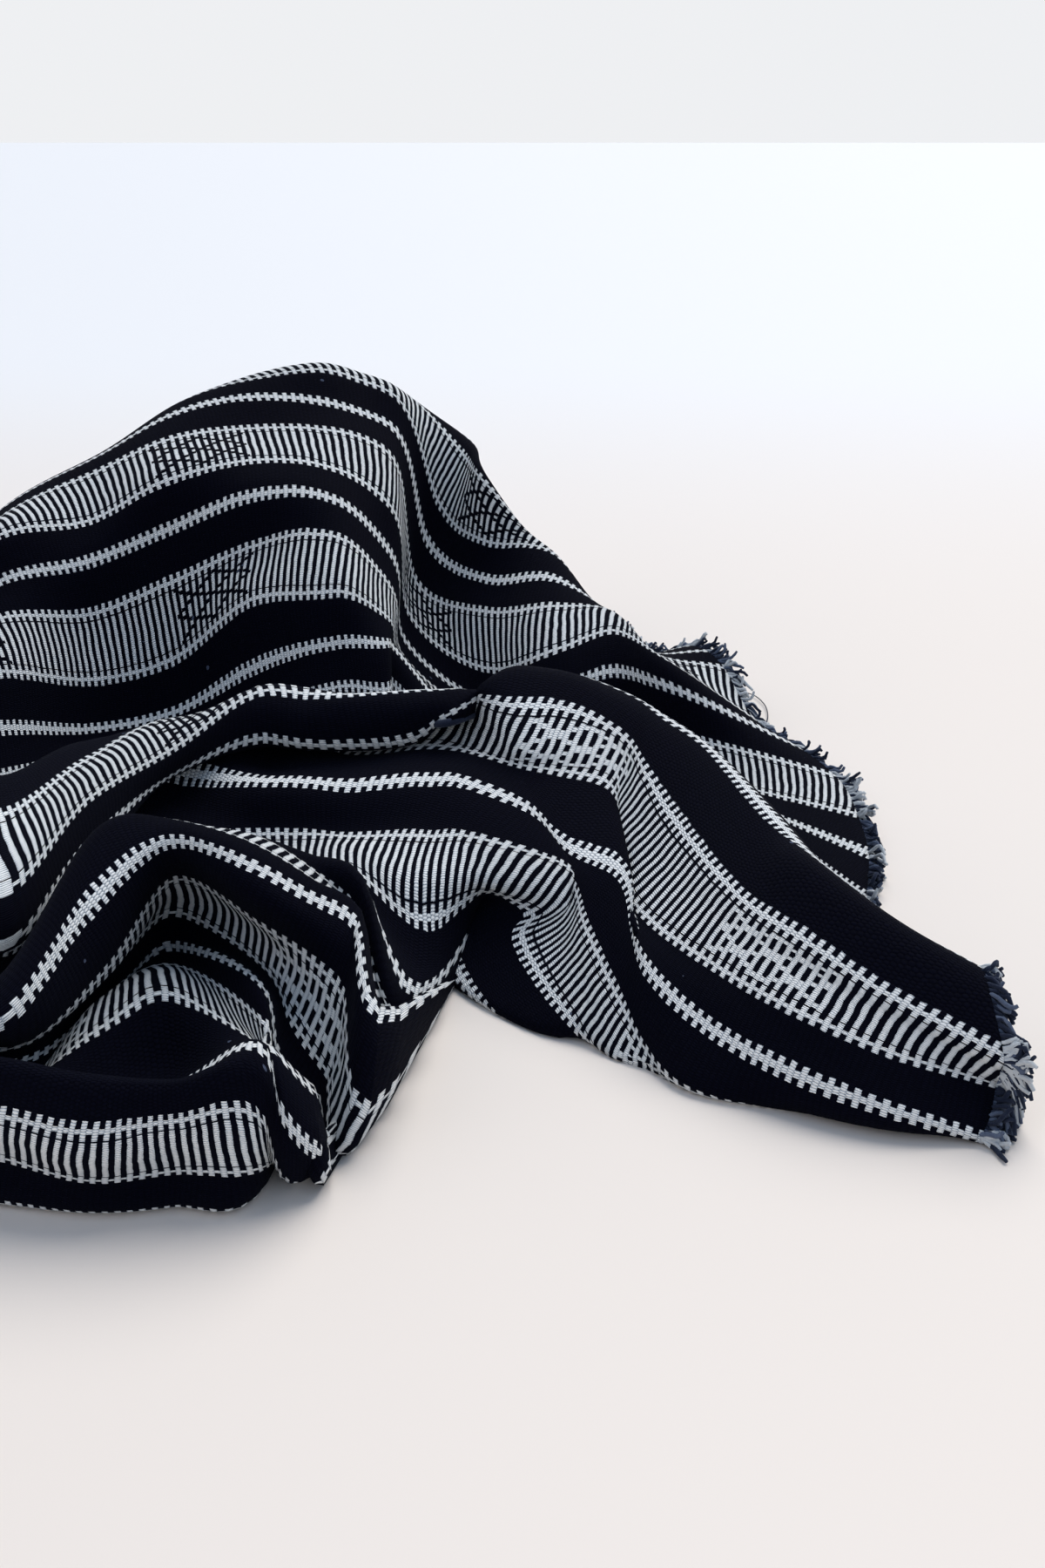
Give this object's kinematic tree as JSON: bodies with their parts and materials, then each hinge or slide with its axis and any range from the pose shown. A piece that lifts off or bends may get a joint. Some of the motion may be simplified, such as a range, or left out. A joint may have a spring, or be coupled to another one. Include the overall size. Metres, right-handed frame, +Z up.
{
  "type": "handwoven cotton cloth",
  "caption": "Handwoven navy cotton cloth with white warp stripes and short fringed ends, lying in a soft heap with a hill, a ring and a folded tail.",
  "frame": {"origin": "middle of the heap's footprint, on the surface that it lies on", "axes": "+Z up, +X to the right and +Y away from the side with the ring and the tail"},
  "size_m": [0.4082, 0.4775, 0.1232],
  "materials": {
    "cloth": "matt handwoven cotton, navy with white warp stripes",
    "fringe_rear": "matt frayed cotton yarn",
    "fringe_front": "matt frayed cotton yarn"
  },
  "bodies": {
    "root": {"cloth": "cloth", "fringe_rear": "fringe_rear", "fringe_front": "fringe_front"}
  },
  "joints": []
}
